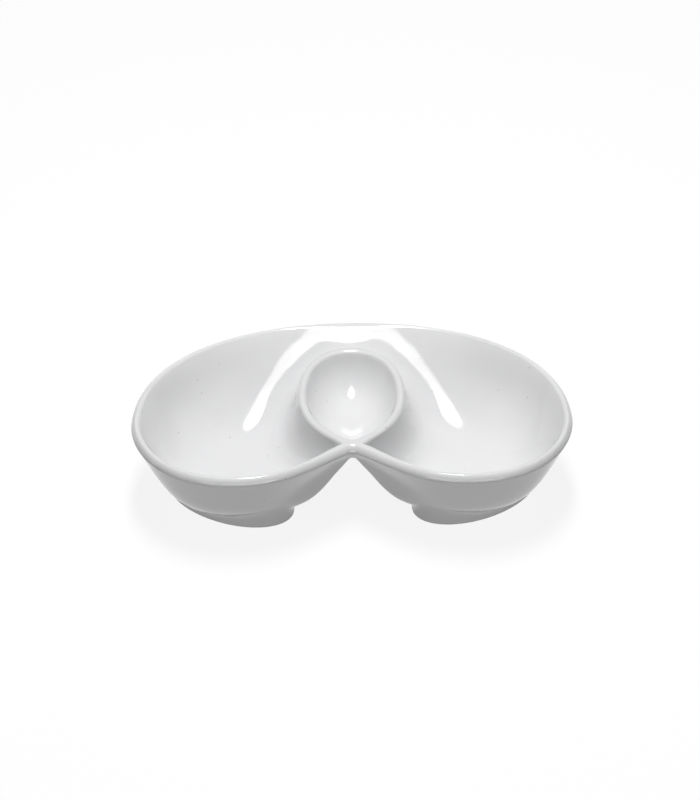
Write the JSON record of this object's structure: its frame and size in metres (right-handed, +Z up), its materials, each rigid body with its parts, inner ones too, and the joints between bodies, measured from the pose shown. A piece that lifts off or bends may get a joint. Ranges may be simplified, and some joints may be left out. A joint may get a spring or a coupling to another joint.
{
  "type": "porcelain bowl",
  "caption": "Glazed white serving dish: deep bean-shaped bowls linked by a saddle and wrapped round a teardrop dip cup, standing on low oval foot rings.",
  "frame": {"origin": "on the table, under the middle of the dish's outline", "axes": "+X to the right along the dish's length, +Y to the back, +Z up; the cup's point faces -Y"},
  "size_m": [0.21, 0.124, 0.046],
  "materials": {
    "glaze": "glossy white glaze",
    "foot": "glazed outside, bare and matt where it stands"
  },
  "bodies": {
    "root": {"left_bowl": "glaze", "right_bowl": "glaze", "dip_cup": "glaze", "left_foot_ring": "foot", "right_foot_ring": "foot"}
  },
  "joints": []
}
